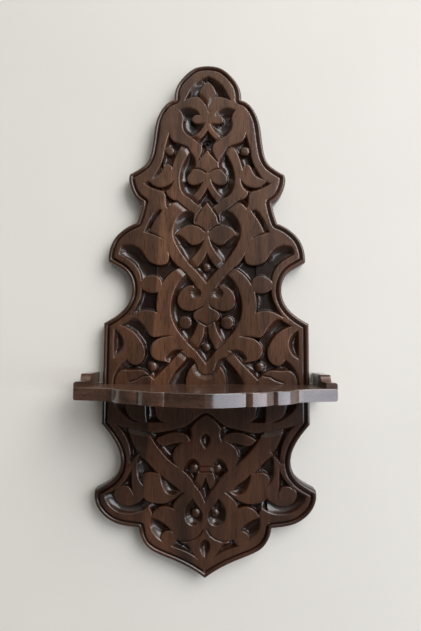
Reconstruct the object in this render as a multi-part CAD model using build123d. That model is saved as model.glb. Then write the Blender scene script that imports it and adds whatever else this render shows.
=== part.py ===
"""Wall-hung carved turban stand: panel boards, shelf board, cheeks, dowels and screws."""
from build123d import *
import os

os.makedirs("parts", exist_ok=True)

# Panel
PANEL_HEIGHT = 766.5
PANEL_THICKNESS = 22.0
HOLE_HEIGHT = 642.4
CARVING_DEPTH = 8.0
BOSS_DROP = 1.5
JOINT_TOP_X = 59.8
JOINT_BOTTOM_X = 93.4
PANEL_SIDE_X = 152.6

# Edge moulding
BEAD_WIDTH = 7.2
BEAD_OUTER_ROUND = 3.6
BEAD_INNER_CHAMFER = 1.6
BEAD_DROP = 0.8
GROOVE_DEPTH = 4.0
FIELD_MARGIN = 9.4
FIELD_CHAMFER = 0.8

# Hanging hole
SCREW_HOLE_R = 3.0
COUNTERBORE_R = 6.0
COUNTERBORE_DEPTH = 4.0

# Shelf
SHELF_TOP_HEIGHT = 273.5
SHELF_THICKNESS = 17.0
HOUSING_DEPTH = 9.0
EAR_GAP = 0.6
EAR_WIDTH = 22.8
SHELF_REACH = 127.5
EAR_REACH = 56.0
EDGE_ROUND = 1.2
EAR_CORNER_R = 3.0

# Cheeks
CHEEK_THICKNESS = 15.0
CHEEK_REAR_HEIGHT = 16.5
CHEEK_REAR_LENGTH = 48.0
CHEEK_FRONT_HEIGHT = 7.5
COVE_LENGTH = 8.0
CHEEK_CORNER_R = 3.0

# Dowels
DOWEL_R = 3.0
DOWEL_LENGTH = 18.0
DOWEL_IN_CHEEK = 8.0
DOWEL_PLAY = 0.05
DOWEL_OUTS = (12.0, 38.0)

# Shelf screws
SCREW_R = 2.25
SCREW_LENGTH = 45.0
SCREW_HEAD_R = 4.5
SCREW_HEAD_LENGTH = 2.4
SCREW_TIP_LENGTH = 5.0
SCREW_PLAY = 0.05
SCREW_XS = (-104.0, 0.0, 104.0)
SLOT_WIDTH = 1.0
SLOT_DEPTH = 0.9

# Two places nearer than this are the same
SAME_PLACE = 0.01

# Every piece is drawn as x to the right, y up from the lowest tip, z out from the wall
SHELF_BOTTOM_HEIGHT = SHELF_TOP_HEIGHT - SHELF_THICKNESS
SCREW_HEIGHT = SHELF_TOP_HEIGHT - SHELF_THICKNESS / 2
HOUSING_FLOOR = PANEL_THICKNESS - HOUSING_DEPTH
SHELF_HALF_WIDTH = PANEL_SIDE_X + EAR_GAP + EAR_WIDTH
CHEEK_LENGTH = PANEL_THICKNESS + EAR_REACH

# Right half of the panel outline, one row per smooth stretch
OUTLINE = [
    [(0, 766.5), (10, 765.7), (20, 763), (30, 756.4), (40, 746.3), (48, 734.2), (52, 721.1),
     (52.5, 710.6)],
    [(52.5, 710.6), (61, 707), (69.8, 698), (76.3, 686.4), (80.3, 674.3), (84, 648.6), (86.5, 630.4),
     (90.5, 615.3), (96, 606.7), (104, 600.2), (112, 595.1), (118.5, 591.6)],
    [(118.5, 591.6), (120, 583), (118.5, 574), (115.5, 564.9), (110.5, 555.8), (105, 549.8), (99, 545.7)],
    [(99, 545.7), (101, 535.7), (104, 524.6), (107, 516)],
    [(107, 516), (118, 511), (130, 502.4), (140, 491.3), (146, 478.2), (148.5, 466.1), (148.5, 456)],
    [(148.5, 456), (135, 448), (123, 439.9), (115.5, 428.8), (112.5, 415.7), (114, 401.6), (121, 387.5),
     (133, 375.4), (PANEL_SIDE_X, 363.3)],
    [(PANEL_SIDE_X, 363.3), (PANEL_SIDE_X, 215.3)],
    [(PANEL_SIDE_X, 215.3), (142, 202.9), (131, 186.7), (125, 171.6), (124, 158.5), (129, 144.3),
     (140, 133.2), (159.6, 122.1)],
    [(159.6, 122.1), (160.5, 111), (155, 95.9), (144, 83.8), (128, 74.7), (110, 70.6), (95.7, 69.1)],
    [(95.7, 69.1), (92, 55.5), (84, 43.4), (70, 34.3), (55, 28.3), (35, 20.2), (17, 11.1), (0, 0)],
]

# Hollows that cross the midline, right half
MIDDLE_HOLLOWS = [
    [[(0, 747), (10, 742.5), (20, 735), (27, 725), (32, 715), (35.5, 708)],
     [(35.5, 708), (28, 711.5), (20, 713.5), (13, 713)],
     [(13, 713), (12.5, 720), (10, 727.5), (5, 734.5), (0, 738.5)]],
    [[(0, 661), (5, 653.5), (14, 644.5)],
     [(14, 644.5), (9.5, 638), (8, 631), (10, 622), (18, 608)],
     [(18, 608), (8, 617.5), (0, 628)]],
    [[(0, 570), (6, 559), (17, 545)], [(17, 545), (11, 541), (6.5, 537.5)], [(6.5, 537.5), (0, 546)]],
    [[(0, 470), (5, 460), (11, 451), (18, 444.5)], [(18, 444.5), (9, 434), (0, 423)]],
    [[(0, 359), (2, 357), (4, 346), (9, 334), (15.5, 323)], [(15.5, 323), (8, 313), (0, 303)]],
    [[(0, 233), (10, 228.5), (19, 220.5), (28, 214), (40, 210), (52, 207.5), (66, 204.5), (84, 205)],
     [(84, 205), (78, 195), (71, 185), (62, 174), (52, 164), (38.5, 154.5)],
     [(38.5, 154.5), (45.5, 162), (47.5, 171), (44, 181), (38, 187), (30, 190.5)],
     [(30, 190.5), (40, 190), (50, 187.5), (59, 185), (67, 187.5), (73, 193)],
     [(73, 193), (65, 198.5), (55, 202.5), (45, 204.5), (35, 203.5), (26, 199), (23.5, 192)],
     [(23.5, 192), (20.5, 202), (22, 210)],
     [(22, 210), (16, 218), (8, 225), (0, 229.5)]],
    [[(0, 203), (5, 200), (7, 195), (5, 188), (0, 181)]],
    [[(0, 142), (3.5, 132), (8.5, 122.5)], [(8.5, 122.5), (4, 114), (0, 105.5)]],
    [[(0, 55), (5, 52), (7.5, 46), (5.5, 38), (0, 31)]],
]

# Hollows on the right side, cut again as a mirror image on the left
SIDE_HOLLOWS = [
    [[(12, 683.5), (14, 688.5), (20, 693.5), (28, 696), (36, 695.5), (43, 692.5)],
     [(43, 692.5), (39, 686), (37, 678), (38.5, 670), (37.5, 662), (33, 655), (23, 648.5)],
     [(23, 648.5), (15, 654), (9, 661), (4, 670.5)],
     [(4, 670.5), (13, 671), (20, 671.5), (24, 676), (21.5, 682), (12, 683.5)]],
    [[(59, 655), (56.5, 648), (52, 642.5), (44, 639), (38, 636.5)],
     [(38, 636.5), (43.5, 628), (48.5, 617), (51.5, 607), (53.5, 599)],
     [(53.5, 599), (57, 604.5), (61.5, 606), (66, 602.5), (69, 595), (74.5, 588), (84, 583)],
     [(84, 583), (77, 595), (71, 606), (67, 619)],
     [(67, 619), (66, 628), (64, 637), (61.5, 646), (59, 655)]],
    [[(27, 626.5), (34, 614), (39.5, 601), (42, 588), (42, 576), (39, 564), (33, 556.5), (25.5, 553)],
     [(25.5, 553), (17, 561), (10, 570.5), (5.5, 581.5)],
     [(5.5, 581.5), (11, 576.5), (18, 574), (26, 575), (30.5, 581), (29, 588), (25, 593.5),
      (19, 599.5)],
     [(19, 599.5), (17, 609), (20, 618), (27, 626.5)]],
    [[(51, 583), (55, 577), (61, 572.5), (69, 570), (77, 570.5), (84, 574.5), (89.5, 579.5)],
     [(89.5, 579.5), (97, 576.5)],
     [(97, 576.5), (88, 570.5), (78, 566), (68, 563.5)],
     [(68, 563.5), (63, 553), (63, 544), (60, 537)],
     [(60, 537), (53, 544.5), (46, 548.5)],
     [(46, 548.5), (54, 552), (60, 557), (62, 564)],
     [(62, 564), (56, 568), (52.5, 574), (51, 583)]],
    [[(19, 527.5), (27, 533.5), (35, 532.5), (42, 526.5), (48, 517), (51, 506), (51, 495), (47, 483),
      (40, 471), (33, 460.5), (27, 453.5)],
     [(27, 453.5), (15, 468), (8, 479), (3.5, 492)],
     [(3.5, 492), (8, 486), (15, 482), (23, 481.5), (30, 487), (37, 493.5), (45, 497)],
     [(45, 497), (41, 503), (35, 508), (27, 511), (19, 511.5)],
     [(19, 511.5), (20.5, 519), (19, 527.5)]],
    [[(67, 534), (73, 536)], [(73, 536), (81, 528.5), (88, 516), (94.5, 500.5)],
     [(94.5, 500.5), (82, 497), (67, 490.5)], [(67, 490.5), (77, 497.5), (86, 501)],
     [(86, 501), (82.5, 510), (76, 521), (67, 534)]],
    [[(127, 479.5), (113, 481), (101, 475.5), (93.5, 465.5), (88, 457), (79, 452), (68, 450.5),
      (60, 453.5), (57, 460), (58, 469.5)],
     [(58, 469.5), (53, 460.5), (47, 452.5), (40.5, 446.5)],
     [(40.5, 446.5), (50, 440.5), (57, 434.5), (62.5, 428), (66.5, 421.5)],
     [(66.5, 421.5), (69, 428.5), (75, 433.5), (83, 434.5), (91, 431.5), (97.5, 426)],
     [(97.5, 426), (99, 436), (104, 446), (113, 455.5), (131, 466.5)],
     [(131, 466.5), (130.5, 473), (127, 479.5)]],
    [[(30, 436.5), (38, 430), (45, 420), (50, 407), (53, 393), (53, 380), (50, 367), (45, 356),
      (37, 345), (27, 334)],
     [(27, 334), (20, 344), (14.5, 356), (12, 365)],
     [(12, 365), (17, 368.5), (19.5, 374.5), (17, 380), (11, 383.5), (4.5, 388)],
     [(4.5, 388), (4.5, 390)],
     [(4.5, 390), (12, 385), (21, 382), (30, 382), (38, 385.5), (42.5, 393), (42, 403), (37, 412),
      (29, 418), (20, 419)],
     [(20, 419), (16, 411), (9, 402)], [(9, 402), (13, 414), (21, 426), (30, 436.5)]],
    [[(72, 409.5), (80, 408), (89, 409.5), (97, 415)],
     [(97, 415), (98, 404), (102, 392.5), (108, 382), (114, 372.5)],
     [(114, 372.5), (106, 376.5), (98, 380.5), (88, 382), (80, 381), (73, 378.5)],
     [(73, 378.5), (74.5, 389), (73.5, 400), (72, 409.5)]],
    [[(127, 359.5), (118, 364.5), (110, 370)],
     [(110, 370), (103, 369), (96, 363.5), (89.5, 355), (84.5, 346), (78, 342.5), (68, 344),
      (59, 345), (50, 344)],
     [(50, 344), (60, 342.5), (70, 340), (78, 334.5), (83, 325), (82, 317), (77, 311), (68, 307.5),
      (57, 306)],
     [(57, 306), (60, 311), (56, 318), (49, 323.5), (41, 324.5), (33, 323)],
     [(33, 323), (38, 320.5), (46, 311.5), (56, 300.5), (66, 290.5), (76, 280)],
     [(76, 280), (84, 287), (93, 293.5), (105, 293.5), (117, 293.5)],
     [(117, 293.5), (125, 292.5), (130.5, 287), (133, 271)], [(133, 271), (137, 271)],
     [(137, 271), (134, 288), (129, 298), (123, 305), (116.5, 310)],
     [(116.5, 310), (112, 304), (104, 301.5), (96, 305), (91, 314), (91.5, 326), (97, 337),
      (105, 347), (115, 354.5), (127, 359.5)]],
    [[(136, 354), (129, 349), (123.5, 341), (121.5, 333), (123.5, 324), (129, 316), (136, 311.5)],
     [(136, 311.5), (136.8, 333), (136, 354)]],
    [[(16, 305), (22, 312), (28, 312.5)], [(28, 312.5), (40, 299), (50, 286), (56, 271)],
     [(56, 271), (29, 271)], [(29, 271), (28.5, 284), (25, 293), (20, 300), (16, 305)]],
    [[(74.5, 255), (74, 237), (70.5, 225), (60, 219.5)], [(60, 219.5), (75, 218), (86, 218.5)],
     [(86, 218.5), (87.5, 231), (87, 255)], [(87, 255), (74.5, 255)]],
    [[(117, 255), (117, 239), (113, 229), (104, 222), (92, 218.5)],
     [(92, 218.5), (102, 219), (111, 222.5), (120, 228.5), (128, 236.5), (134, 255)],
     [(134, 255), (117, 255)]],
    [[(132, 216), (122, 207), (115, 196), (110.5, 185), (108.5, 173), (108, 162.5)],
     [(108, 162.5), (103, 169), (97.5, 174.5)], [(97.5, 174.5), (103, 184), (108, 195), (114, 210.5)],
     [(114, 210.5), (123, 213), (132, 216)]],
    [[(9, 152), (10, 161), (17, 167.5), (25, 165), (30, 157.5), (32.5, 150)],
     [(32.5, 150), (22, 140), (15, 130)], [(15, 130), (14, 138), (9, 152)]],
    [[(18, 112), (23, 107), (28, 99), (29.5, 89), (26.5, 79), (18, 73.5), (9, 75.5), (4, 83.5),
      (5, 93), (11, 101), (18, 112)]],
    [[(65.5, 146), (58, 139), (50, 133), (43, 128), (36, 121)],
     [(36, 121), (41, 117.5), (49, 116), (56, 119.5), (61, 127), (64, 136), (65.5, 146)]],
    [[(28, 120), (36, 118), (43, 112), (52, 106.5), (62, 104), (72, 104.5), (80, 106), (88, 112)],
     [(88, 112), (95, 106), (105, 101.5), (117, 101.5), (126, 106.5), (131, 115), (128.5, 124.5)],
     [(128.5, 124.5), (136, 120), (144.5, 116)],
     [(144.5, 116), (142, 107), (135, 98.5), (126, 92.5), (112, 89.5), (100, 90), (90, 93),
      (81, 98.5)],
     [(81, 98.5), (78, 94), (76.5, 88)], [(76.5, 88), (71, 95), (62, 99.5), (52, 99), (44, 96)],
     [(44, 96), (46, 102), (42, 108.5), (36, 114), (28, 120)]],
    [[(107, 153), (111, 143), (116.5, 135), (125, 125.5)],
     [(125, 125.5), (118, 128.5), (111.5, 127.5), (107, 123), (103.5, 117)],
     [(103.5, 117), (105.5, 127), (106, 139), (107, 153)]],
    [[(97, 172), (99, 159), (98.5, 146), (95, 135.5), (88, 128.5)],
     [(88, 128.5), (92, 135), (91.5, 141.5), (87, 146), (79, 147.5), (68, 145.5)],
     [(68, 145.5), (77, 155), (87, 165), (97, 172)]],
    [[(78, 85), (78.5, 74), (73, 62), (60, 51.5)], [(60, 51.5), (62, 60), (56, 65.5), (46, 64)],
     [(46, 64), (53, 72), (62, 79), (78, 85)]],
    [[(40, 55.5), (43, 49.5), (48.5, 45.5)], [(48.5, 45.5), (38, 42), (25, 37), (10, 28)],
     [(10, 28), (16, 34.5), (20, 40.5), (23, 45.5), (27, 49)], [(27, 49), (34, 51), (40, 55.5)]],
]

# Round bosses left standing in the hollows: x, height, radius
MIDDLE_BOSSES = [(0, 447.5, 6.5), (0, 327.5, 6.5)]
SIDE_BOSSES = [(58, 628, 6.6), (31.2, 364.3, 9.3), (79.5, 298.8, 7.3), (16.8, 152.5, 6.8),
               (13.8, 89.5, 6.5)]

# Scroll eye sunk into the surface: x, height, radius
SCROLL_EYE = (16.5, 407.5, 8.5)
SCROLL_EYE_DEPTH = 4.0

# Right half of the shelf front edge: x, distance in front of the panel
SHELF_FRONT = [
    [(0, SHELF_REACH), (12, 125.5), (25, 122), (38, 117.5), (49, 112)],
    [(49, 112), (55, 113), (65, 110.5), (76, 103.5), (85, 94)],
    [(85, 94), (91, 94.5), (101, 90.5), (110, 84), (117, 76)],
    [(117, 76), (121, 70), (137, 64), (152, 60), (SHELF_HALF_WIDTH, EAR_REACH)],
]


def edge_through(points, place):
    """One edge through drawn points: straight for two, a smooth curve for more."""
    spots = [place(*point) for point in points]
    if len(spots) == 2:
        return Edge.make_line(spots[0], spots[1])
    return Edge.make_spline(spots)


def face_from(rows, place):
    """Closed face bounded by rows of points."""
    return Face(Wire([edge_through(row, place) for row in rows]))


def on_front(z, side=1):
    """Places a drawn x and height at a distance from the wall."""
    return lambda x, y: Vector(side * x, y, z)


def on_level(height, side=1):
    """Places a drawn x and distance from the wall at a height."""
    return lambda x, out: Vector(side * x, height, out)


def across_middle(rows, place_on):
    """Closed face from the right half's rows and their mirror image."""
    edges = [edge_through(row, place_on(1)) for row in rows]
    edges += [edge_through(row, place_on(-1)) for row in rows]
    return Face(Wire(edges))


def panel_face(rows, z):
    """Face across the midline, parallel to the wall."""
    return across_middle(rows, lambda side: on_front(z, side))


def prism(face, depth):
    """Solid from a face pushed away from the wall; a minus depth goes towards it."""
    return Solid.extrude(face, Vector(0, 0, depth))


def top_face(solid):
    """Flat face farthest from the wall."""
    return solid.faces().sort_by(Axis.Z)[-1]


def post(x, y, radius, z_low, z_high):
    """Round post standing out from the wall between two distances."""
    return Solid.make_cylinder(radius, z_high - z_low, Plane((x, y, z_low)))


def upright(x, out, radius, low, high):
    """Upright rod between two heights."""
    base = Plane(origin=(x, low, out), x_dir=(1, 0, 0), z_dir=(0, 1, 0))
    return Solid.make_cylinder(radius, high - low, base)


def shrunk_face(margin, z):
    """Panel outline drawn in by a margin, taken from the top of a chamfered block."""
    block = prism(panel_face(OUTLINE, 0), PANEL_THICKNESS)
    top = top_face(block.chamfer(margin, None, top_face(block).outer_wire().edges()))
    return top.moved(Pos(0, 0, z - PANEL_THICKNESS))


def moulded_panel():
    """Uncarved panel: rounded bead, groove and raised field."""
    blank = prism(panel_face(OUTLINE, 0), PANEL_THICKNESS - BEAD_DROP)
    blank = blank.fillet(BEAD_OUTER_ROUND, top_face(blank).outer_wire().edges())
    inside = shrunk_face(BEAD_WIDTH, PANEL_THICKNESS - GROOVE_DEPTH)
    ring = blank.cut(prism(inside, GROOVE_DEPTH)).solid()
    inner_rim = top_face(ring).inner_wires()[0].edges()
    ring = ring.chamfer(BEAD_INNER_CHAMFER, None, inner_rim)
    field = prism(shrunk_face(FIELD_MARGIN, HOUSING_FLOOR), HOUSING_DEPTH)
    field = field.chamfer(FIELD_CHAMFER, None, top_face(field).outer_wire().edges())
    return ring.fuse(field)


def hollow_cutters():
    """Every carved hollow as a straight-walled cutter."""
    above = PANEL_THICKNESS + 1
    faces = [panel_face(rows, above) for rows in MIDDLE_HOLLOWS]
    for side in (1, -1):
        faces += [face_from(rows, on_front(above, side)) for rows in SIDE_HOLLOWS]
    return [prism(face, -CARVING_DEPTH - 1) for face in faces]


def bosses():
    """Round bosses standing in the hollows."""
    spots = MIDDLE_BOSSES + SIDE_BOSSES + [(-x, y, r) for x, y, r in SIDE_BOSSES]
    low = PANEL_THICKNESS - CARVING_DEPTH - 1
    return [post(x, y, r, low, PANEL_THICKNESS - BOSS_DROP) for x, y, r in spots]


def screw_hole(x):
    """Clearance hole for one shelf screw, countersunk at the back."""
    shank = post(x, SCREW_HEIGHT, SCREW_R + SCREW_PLAY, -1, SCREW_LENGTH + 1)
    head = Solid.make_cone(SCREW_HEAD_R + SCREW_PLAY, SCREW_R + SCREW_PLAY, SCREW_HEAD_LENGTH,
                           Plane((x, SCREW_HEIGHT, 0)))
    return shank.fuse(head)


def carved_panel():
    """Whole panel with its carving, shelf housing and holes, still in one piece."""
    panel = moulded_panel().cut(*hollow_cutters()).fuse(*bosses())
    x, y, radius = SCROLL_EYE
    above = PANEL_THICKNESS + 1
    eyes = [post(side * x, y, radius, above - 1 - SCROLL_EYE_DEPTH, above) for side in (1, -1)]
    low = SHELF_BOTTOM_HEIGHT
    housing = Solid.make_box(2 * SHELF_HALF_WIDTH, SHELF_THICKNESS, HOUSING_DEPTH + 1,
                             Plane((-SHELF_HALF_WIDTH, low, HOUSING_FLOOR)))
    hollow_floor = PANEL_THICKNESS - CARVING_DEPTH
    hole = post(0, HOLE_HEIGHT, SCREW_HOLE_R, -1, hollow_floor)
    counterbore = post(0, HOLE_HEIGHT, COUNTERBORE_R, hollow_floor - COUNTERBORE_DEPTH, above)
    return panel.cut(*eyes, housing, hole, counterbore, *[screw_hole(x) for x in SCREW_XS])


def board_slab(side):
    """Slab that covers one panel board: 0 middle, 1 right, -1 left."""
    over = 10.0
    slope = (JOINT_BOTTOM_X - JOINT_TOP_X) / PANEL_HEIGHT
    low, high = -over, PANEL_HEIGHT + over
    low_x, high_x = JOINT_BOTTOM_X + slope * over, JOINT_TOP_X - slope * over
    far = 2 * SHELF_HALF_WIDTH
    if side == 0:
        corners = [(-low_x, low), (low_x, low), (high_x, high), (-high_x, high)]
    else:
        corners = [(side * x, y) for x, y in
                   [(low_x, low), (far, low), (far, high), (high_x, high)]]
    ends = corners[1:] + corners[:1]
    face = face_from([list(pair) for pair in zip(corners, ends)], on_front(-1))
    return prism(face, PANEL_THICKNESS + 2)


def shelf_board():
    """Shelf with a scalloped front, ears beside the panel and a tongue in the housing."""
    ear_inside = PANEL_SIDE_X + EAR_GAP
    back = [(0, HOUSING_FLOOR), (ear_inside, HOUSING_FLOOR), (ear_inside, 0),
            (SHELF_HALF_WIDTH, 0), (SHELF_HALF_WIDTH, CHEEK_LENGTH)]
    rows = [list(pair) for pair in zip(back[:-1], back[1:])]
    rows += [[(x, out + PANEL_THICKNESS) for x, out in row] for row in SHELF_FRONT]
    plan = across_middle(rows, lambda side: on_level(SHELF_BOTTOM_HEIGHT, side))
    board = Solid.extrude(plan, Vector(0, SHELF_THICKNESS, 0))
    corners = [edge for edge in board.edges() if lower_outer(edge)]
    board = board.fillet(EAR_CORNER_R, corners)
    top = board.faces().sort_by(Axis.Y)[-1]
    board = board.fillet(EDGE_ROUND, [edge for edge in top.edges() if in_front(edge)])
    holes = [screw_hole(x) for x in SCREW_XS] + dowel_rods(DOWEL_PLAY)
    return board.cut(*holes)


def lower_outer(edge):
    """True for the edges along the ears' lower outer corners."""
    middle = edge.center()
    return (abs(abs(middle.X) - SHELF_HALF_WIDTH) < SAME_PLACE
            and abs(middle.Y - SHELF_BOTTOM_HEIGHT) < SAME_PLACE)


def in_front(edge):
    """True for edges of the scalloped front, clear of the ears' sides."""
    middle = edge.center()
    return middle.Z > PANEL_THICKNESS + EAR_REACH / 2 and abs(middle.X) < SHELF_HALF_WIDTH - SAME_PLACE


def dowel_rods(play=0.0):
    """The dowels, or with some play the blind holes they sit in."""
    x = SHELF_HALF_WIDTH - CHEEK_THICKNESS / 2
    high = SHELF_TOP_HEIGHT + DOWEL_IN_CHEEK
    return [upright(side * x, out, DOWEL_R + play, high - DOWEL_LENGTH - play, high + play)
            for side in (1, -1) for out in DOWEL_OUTS]


def cheek(side):
    """Stepped end cheek standing on one ear of the shelf."""
    base = SHELF_TOP_HEIGHT
    low, top = base + CHEEK_FRONT_HEIGHT, base + CHEEK_REAR_HEIGHT
    rear, cove_end = CHEEK_REAR_LENGTH, CHEEK_REAR_LENGTH + COVE_LENGTH
    cove_middle = (rear + COVE_LENGTH * 0.3, top - (top - low) * 0.7)
    corners = [(CHEEK_LENGTH, low), (CHEEK_LENGTH, base), (0, base), (0, top), (rear, top)]
    inner_x = side * (SHELF_HALF_WIDTH - CHEEK_THICKNESS)

    def at(out, height):
        return Vector(inner_x, height, out)

    edges = [edge_through(pair, at) for pair in zip(corners[:-1], corners[1:])]
    edges.append(Edge.make_three_point_arc(at(rear, top), at(*cove_middle), at(cove_end, low)))
    edges.append(edge_through([(cove_end, low), corners[0]], at))
    body = Solid.extrude(Face(Wire(edges)), Vector(side * CHEEK_THICKNESS, 0, 0))
    body = body.fillet(CHEEK_CORNER_R, [edge for edge in body.edges() if upper_outer(edge)])
    return body.cut(*dowel_rods(DOWEL_PLAY))


def upper_outer(edge):
    """True for the edges along a cheek's upper outer corner."""
    middle = edge.center()
    at_end = middle.Z < SAME_PLACE or middle.Z > CHEEK_LENGTH - SAME_PLACE
    outside = abs(abs(middle.X) - SHELF_HALF_WIDTH) < SAME_PLACE
    return outside and not at_end and middle.Y > SHELF_TOP_HEIGHT + SAME_PLACE


def shelf_screw(x):
    """Countersunk wood screw with a slotted head."""
    middle = Plane((x, SCREW_HEIGHT, 0))
    tip_start = SCREW_LENGTH - SCREW_TIP_LENGTH
    head = Solid.make_cone(SCREW_HEAD_R, SCREW_R, SCREW_HEAD_LENGTH, middle)
    shank = post(x, SCREW_HEIGHT, SCREW_R, 0, tip_start)
    tip = Solid.make_cone(SCREW_R, SCREW_R * 0.2, SCREW_TIP_LENGTH,
                          Plane((x, SCREW_HEIGHT, tip_start)))
    slot = Solid.make_box(3 * SCREW_HEAD_R, SLOT_WIDTH, SLOT_DEPTH + 1,
                          Plane((x - 1.5 * SCREW_HEAD_R, SCREW_HEIGHT - SLOT_WIDTH / 2, -1)))
    return shank.fuse(head, tip).cut(slot)


def save(name, solids):
    """Writes one node, turned into the part's own frame."""
    frame = Plane(origin=(0, 0, -HOLE_HEIGHT), x_dir=(1, 0, 0), z_dir=(0, -1, 0))
    placed = [solid.moved(frame.location) for solid in solids]
    shape = placed[0] if len(placed) == 1 else Compound(children=placed)
    export_step(shape, "parts/" + name + ".step")


panel = carved_panel()
for side, name in ((0, "panel_middle_board"), (1, "panel_right_board"), (-1, "panel_left_board")):
    save(name, panel.intersect(board_slab(side)).solids())
save("shelf_board", shelf_board().solids())
for side, name in ((1, "cheek_right"), (-1, "cheek_left")):
    save(name, cheek(side).solids())
save("cheek_dowels", dowel_rods())
save("shelf_screws", [shelf_screw(x).solid() for x in SCREW_XS])
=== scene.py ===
"""Looks of the carved turban stand: carving in relief, varnished walnut, light and wall."""

import math

import bmesh
import bpy
import numpy as np
from mathutils import Matrix, Vector, noise
from mathutils.bvhtree import BVHTree
from mathutils.geometry import delaunay_2d_cdt


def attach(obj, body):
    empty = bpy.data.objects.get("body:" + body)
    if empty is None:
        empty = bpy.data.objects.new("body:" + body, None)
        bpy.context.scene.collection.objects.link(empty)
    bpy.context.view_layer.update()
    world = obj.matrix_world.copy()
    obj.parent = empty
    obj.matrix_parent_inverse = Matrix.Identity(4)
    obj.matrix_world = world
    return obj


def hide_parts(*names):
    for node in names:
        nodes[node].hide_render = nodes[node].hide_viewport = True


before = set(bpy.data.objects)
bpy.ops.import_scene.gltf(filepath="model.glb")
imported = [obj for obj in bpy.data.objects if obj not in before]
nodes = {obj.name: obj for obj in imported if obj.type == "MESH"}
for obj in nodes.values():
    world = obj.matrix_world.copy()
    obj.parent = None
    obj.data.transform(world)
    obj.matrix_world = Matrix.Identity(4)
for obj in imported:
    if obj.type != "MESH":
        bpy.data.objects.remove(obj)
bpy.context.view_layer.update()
MM = 0.001

# Camera at the photograph's viewing angle: metres, degrees up from straight down, degrees of roll
CAMERA_PLACE = (0.0061, -0.644, -0.3166)
CAMERA_TILT = 94.5
CAMERA_ROLL = 0.31
CAMERA_LENS = 24.02
CAMERA_NEAREST = 0.01

# Levels in millimetres out from the wall, as in the solids
FACE = 22.0
FLOOR = 14.0
BOSS_TOP = 20.5
EYE_FLOOR = 18.0
HOUSING_FLOOR = 13.0
COUNTERBORE_FLOOR = 10.0
HOLLOW_DEPTH = FACE - FLOOR

# Places as the carving was drawn: x from the midline, height above the panel's lowest tip
HOLE_HEIGHT = 642.4
PANEL_HEIGHT = 766.5
SHELF_TOP = 273.5
SHELF_BOTTOM = 256.5
JOINT_TOP_X = 59.8
JOINT_BOTTOM_X = 93.4
COUNTERBORE_R = 6.0
SCREW_X = 104
SCREW_HEIGHT = (SHELF_TOP + SHELF_BOTTOM) / 2
HANGING_HOLE = (0, HOLE_HEIGHT)
BACK_HOLES = [HANGING_HOLE, (-SCREW_X, SCREW_HEIGHT), (0, SCREW_HEIGHT), (SCREW_X, SCREW_HEIGHT)]
BACK_HOLE_REACH = 6.1

# Edge moulding: distance in from the outline against level
MOULDING = [(0, 16.6), (0.4, 18.2), (1.1, 19.6), (2.2, 20.8), (3.6, 21.3), (5.0, 21.0), (6.1, 20.1),
            (6.9, 18.8), (7.4, 18.0), (8.2, 17.8), (8.7, 18.4), (9.2, 20.6), (9.7, 21.6),
            (10.4, 22.0)]
# Wall of a hollow: share of its width against share of the full depth
WALL = [(0, 0.07), (0.08, 0.2), (0.2, 0.42), (0.35, 0.64), (0.5, 0.8), (0.7, 0.93), (0.85, 0.985),
        (1, 1)]
# Widths of the walls: steep round a leaf that bulges into a hollow, wide where the hollow curves away
WALL_WIDTHS = [3.0, 5.2, 8.5, 13.0]
BEND_OF_WIDEST = 0.022
BEND_REACH = 5.0
CORNER_TURN = 0.5
# Worn rim beside a hollow: distance out from the rim against depth
WORN_RIM = [(0, 0.56), (0.4, 0.27), (0.9, 0.08), (1.5, 0.0)]

# Crown of a boss: how far it drops from the middle to the edge, and the power by which it drops
BALL = (2.6, 2.4)
BUTTON = (1.1, 5)
# Right half only from here, mirrored in code
BOSSES = [(0, 447.5, 6.5, BALL), (0, 327.5, 6.5, BALL), (58, 628, 6.6, BUTTON),
          (31.2, 364.3, 9.3, BUTTON), (79.5, 298.8, 7.3, BALL), (16.8, 152.5, 6.8, BALL),
          (13.8, 89.5, 6.5, BALL)]
BOSS_FOOT = 2.2
FOOT_STEEPNESS = 3.2
SCROLL_EYES = [(16.5, 407.5, 8.5)]

# Lines where one strap passes under another, which lies on the line's left as it runs
PASSES = [
    [(0, 694), (3, 701.5), (8, 708), (13, 713)], [(46, 548.5), (38, 542), (28, 534)],
    [(12.5, 639.5), (23, 648.5)], [(38, 636.5), (31, 633), (27, 626.5)], [(17, 545), (25.5, 553)],
    [(18, 444.5), (27, 453.5)], [(40.5, 446.5), (30, 436.5)], [(15.5, 323), (27, 334)],
    [(8.5, 122.5), (15, 130)], [(114, 210.5), (100, 207), (90, 205), (84, 205)],
    [(38, 320.5), (28, 312.5)], [(16, 305), (12, 293), (7, 288.5), (0, 287)],
    [(97.5, 174.5), (108, 162.5)],
]
PASS_DEPTH = 2.4
PASS_WIDTH = 7.0
PASS_EDGE = 0.5
# Narrow cuts between parts that lie at one level
CUTS = [
    [(2, 593), (8, 597.5), (14, 599.5), (19, 599.5)], [(3, 502), (8, 507), (14, 510.5), (19, 511.5)],
    [(0, 360), (13, 367)], [(0, 156), (9, 156)], [(0, 148.5), (9, 148.5)],
    [(3, 68), (8, 60), (15, 55), (24, 52), (36, 52)], [(8, 536), (15, 527), (18, 516)],
    [(84, 286.5), (95, 284.5), (102, 280), (113, 276.5)],
]
CUT_DEPTH = 1.8
CUT_WIDTH = 1.6

# Long gentle slopes inside hollows: two ends of the line that they fall away from, and width
SLOPES = [((97.5, 426), (131, 466.5), 14), ((127, 359.5), (105, 347), 7), ((76, 280), (117, 293.5), 9)]
SLOPE_OVERRUN = 0.05

# Unevenness of hand work: waves per millimetre, layer of the noise, and height of the waves
MARKS_SCALE = 0.16
MARKS_LAYER = 3.1
MARKS_IN_HOLLOW = 0.1
MARKS_ON_FACE = 0.05

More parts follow.
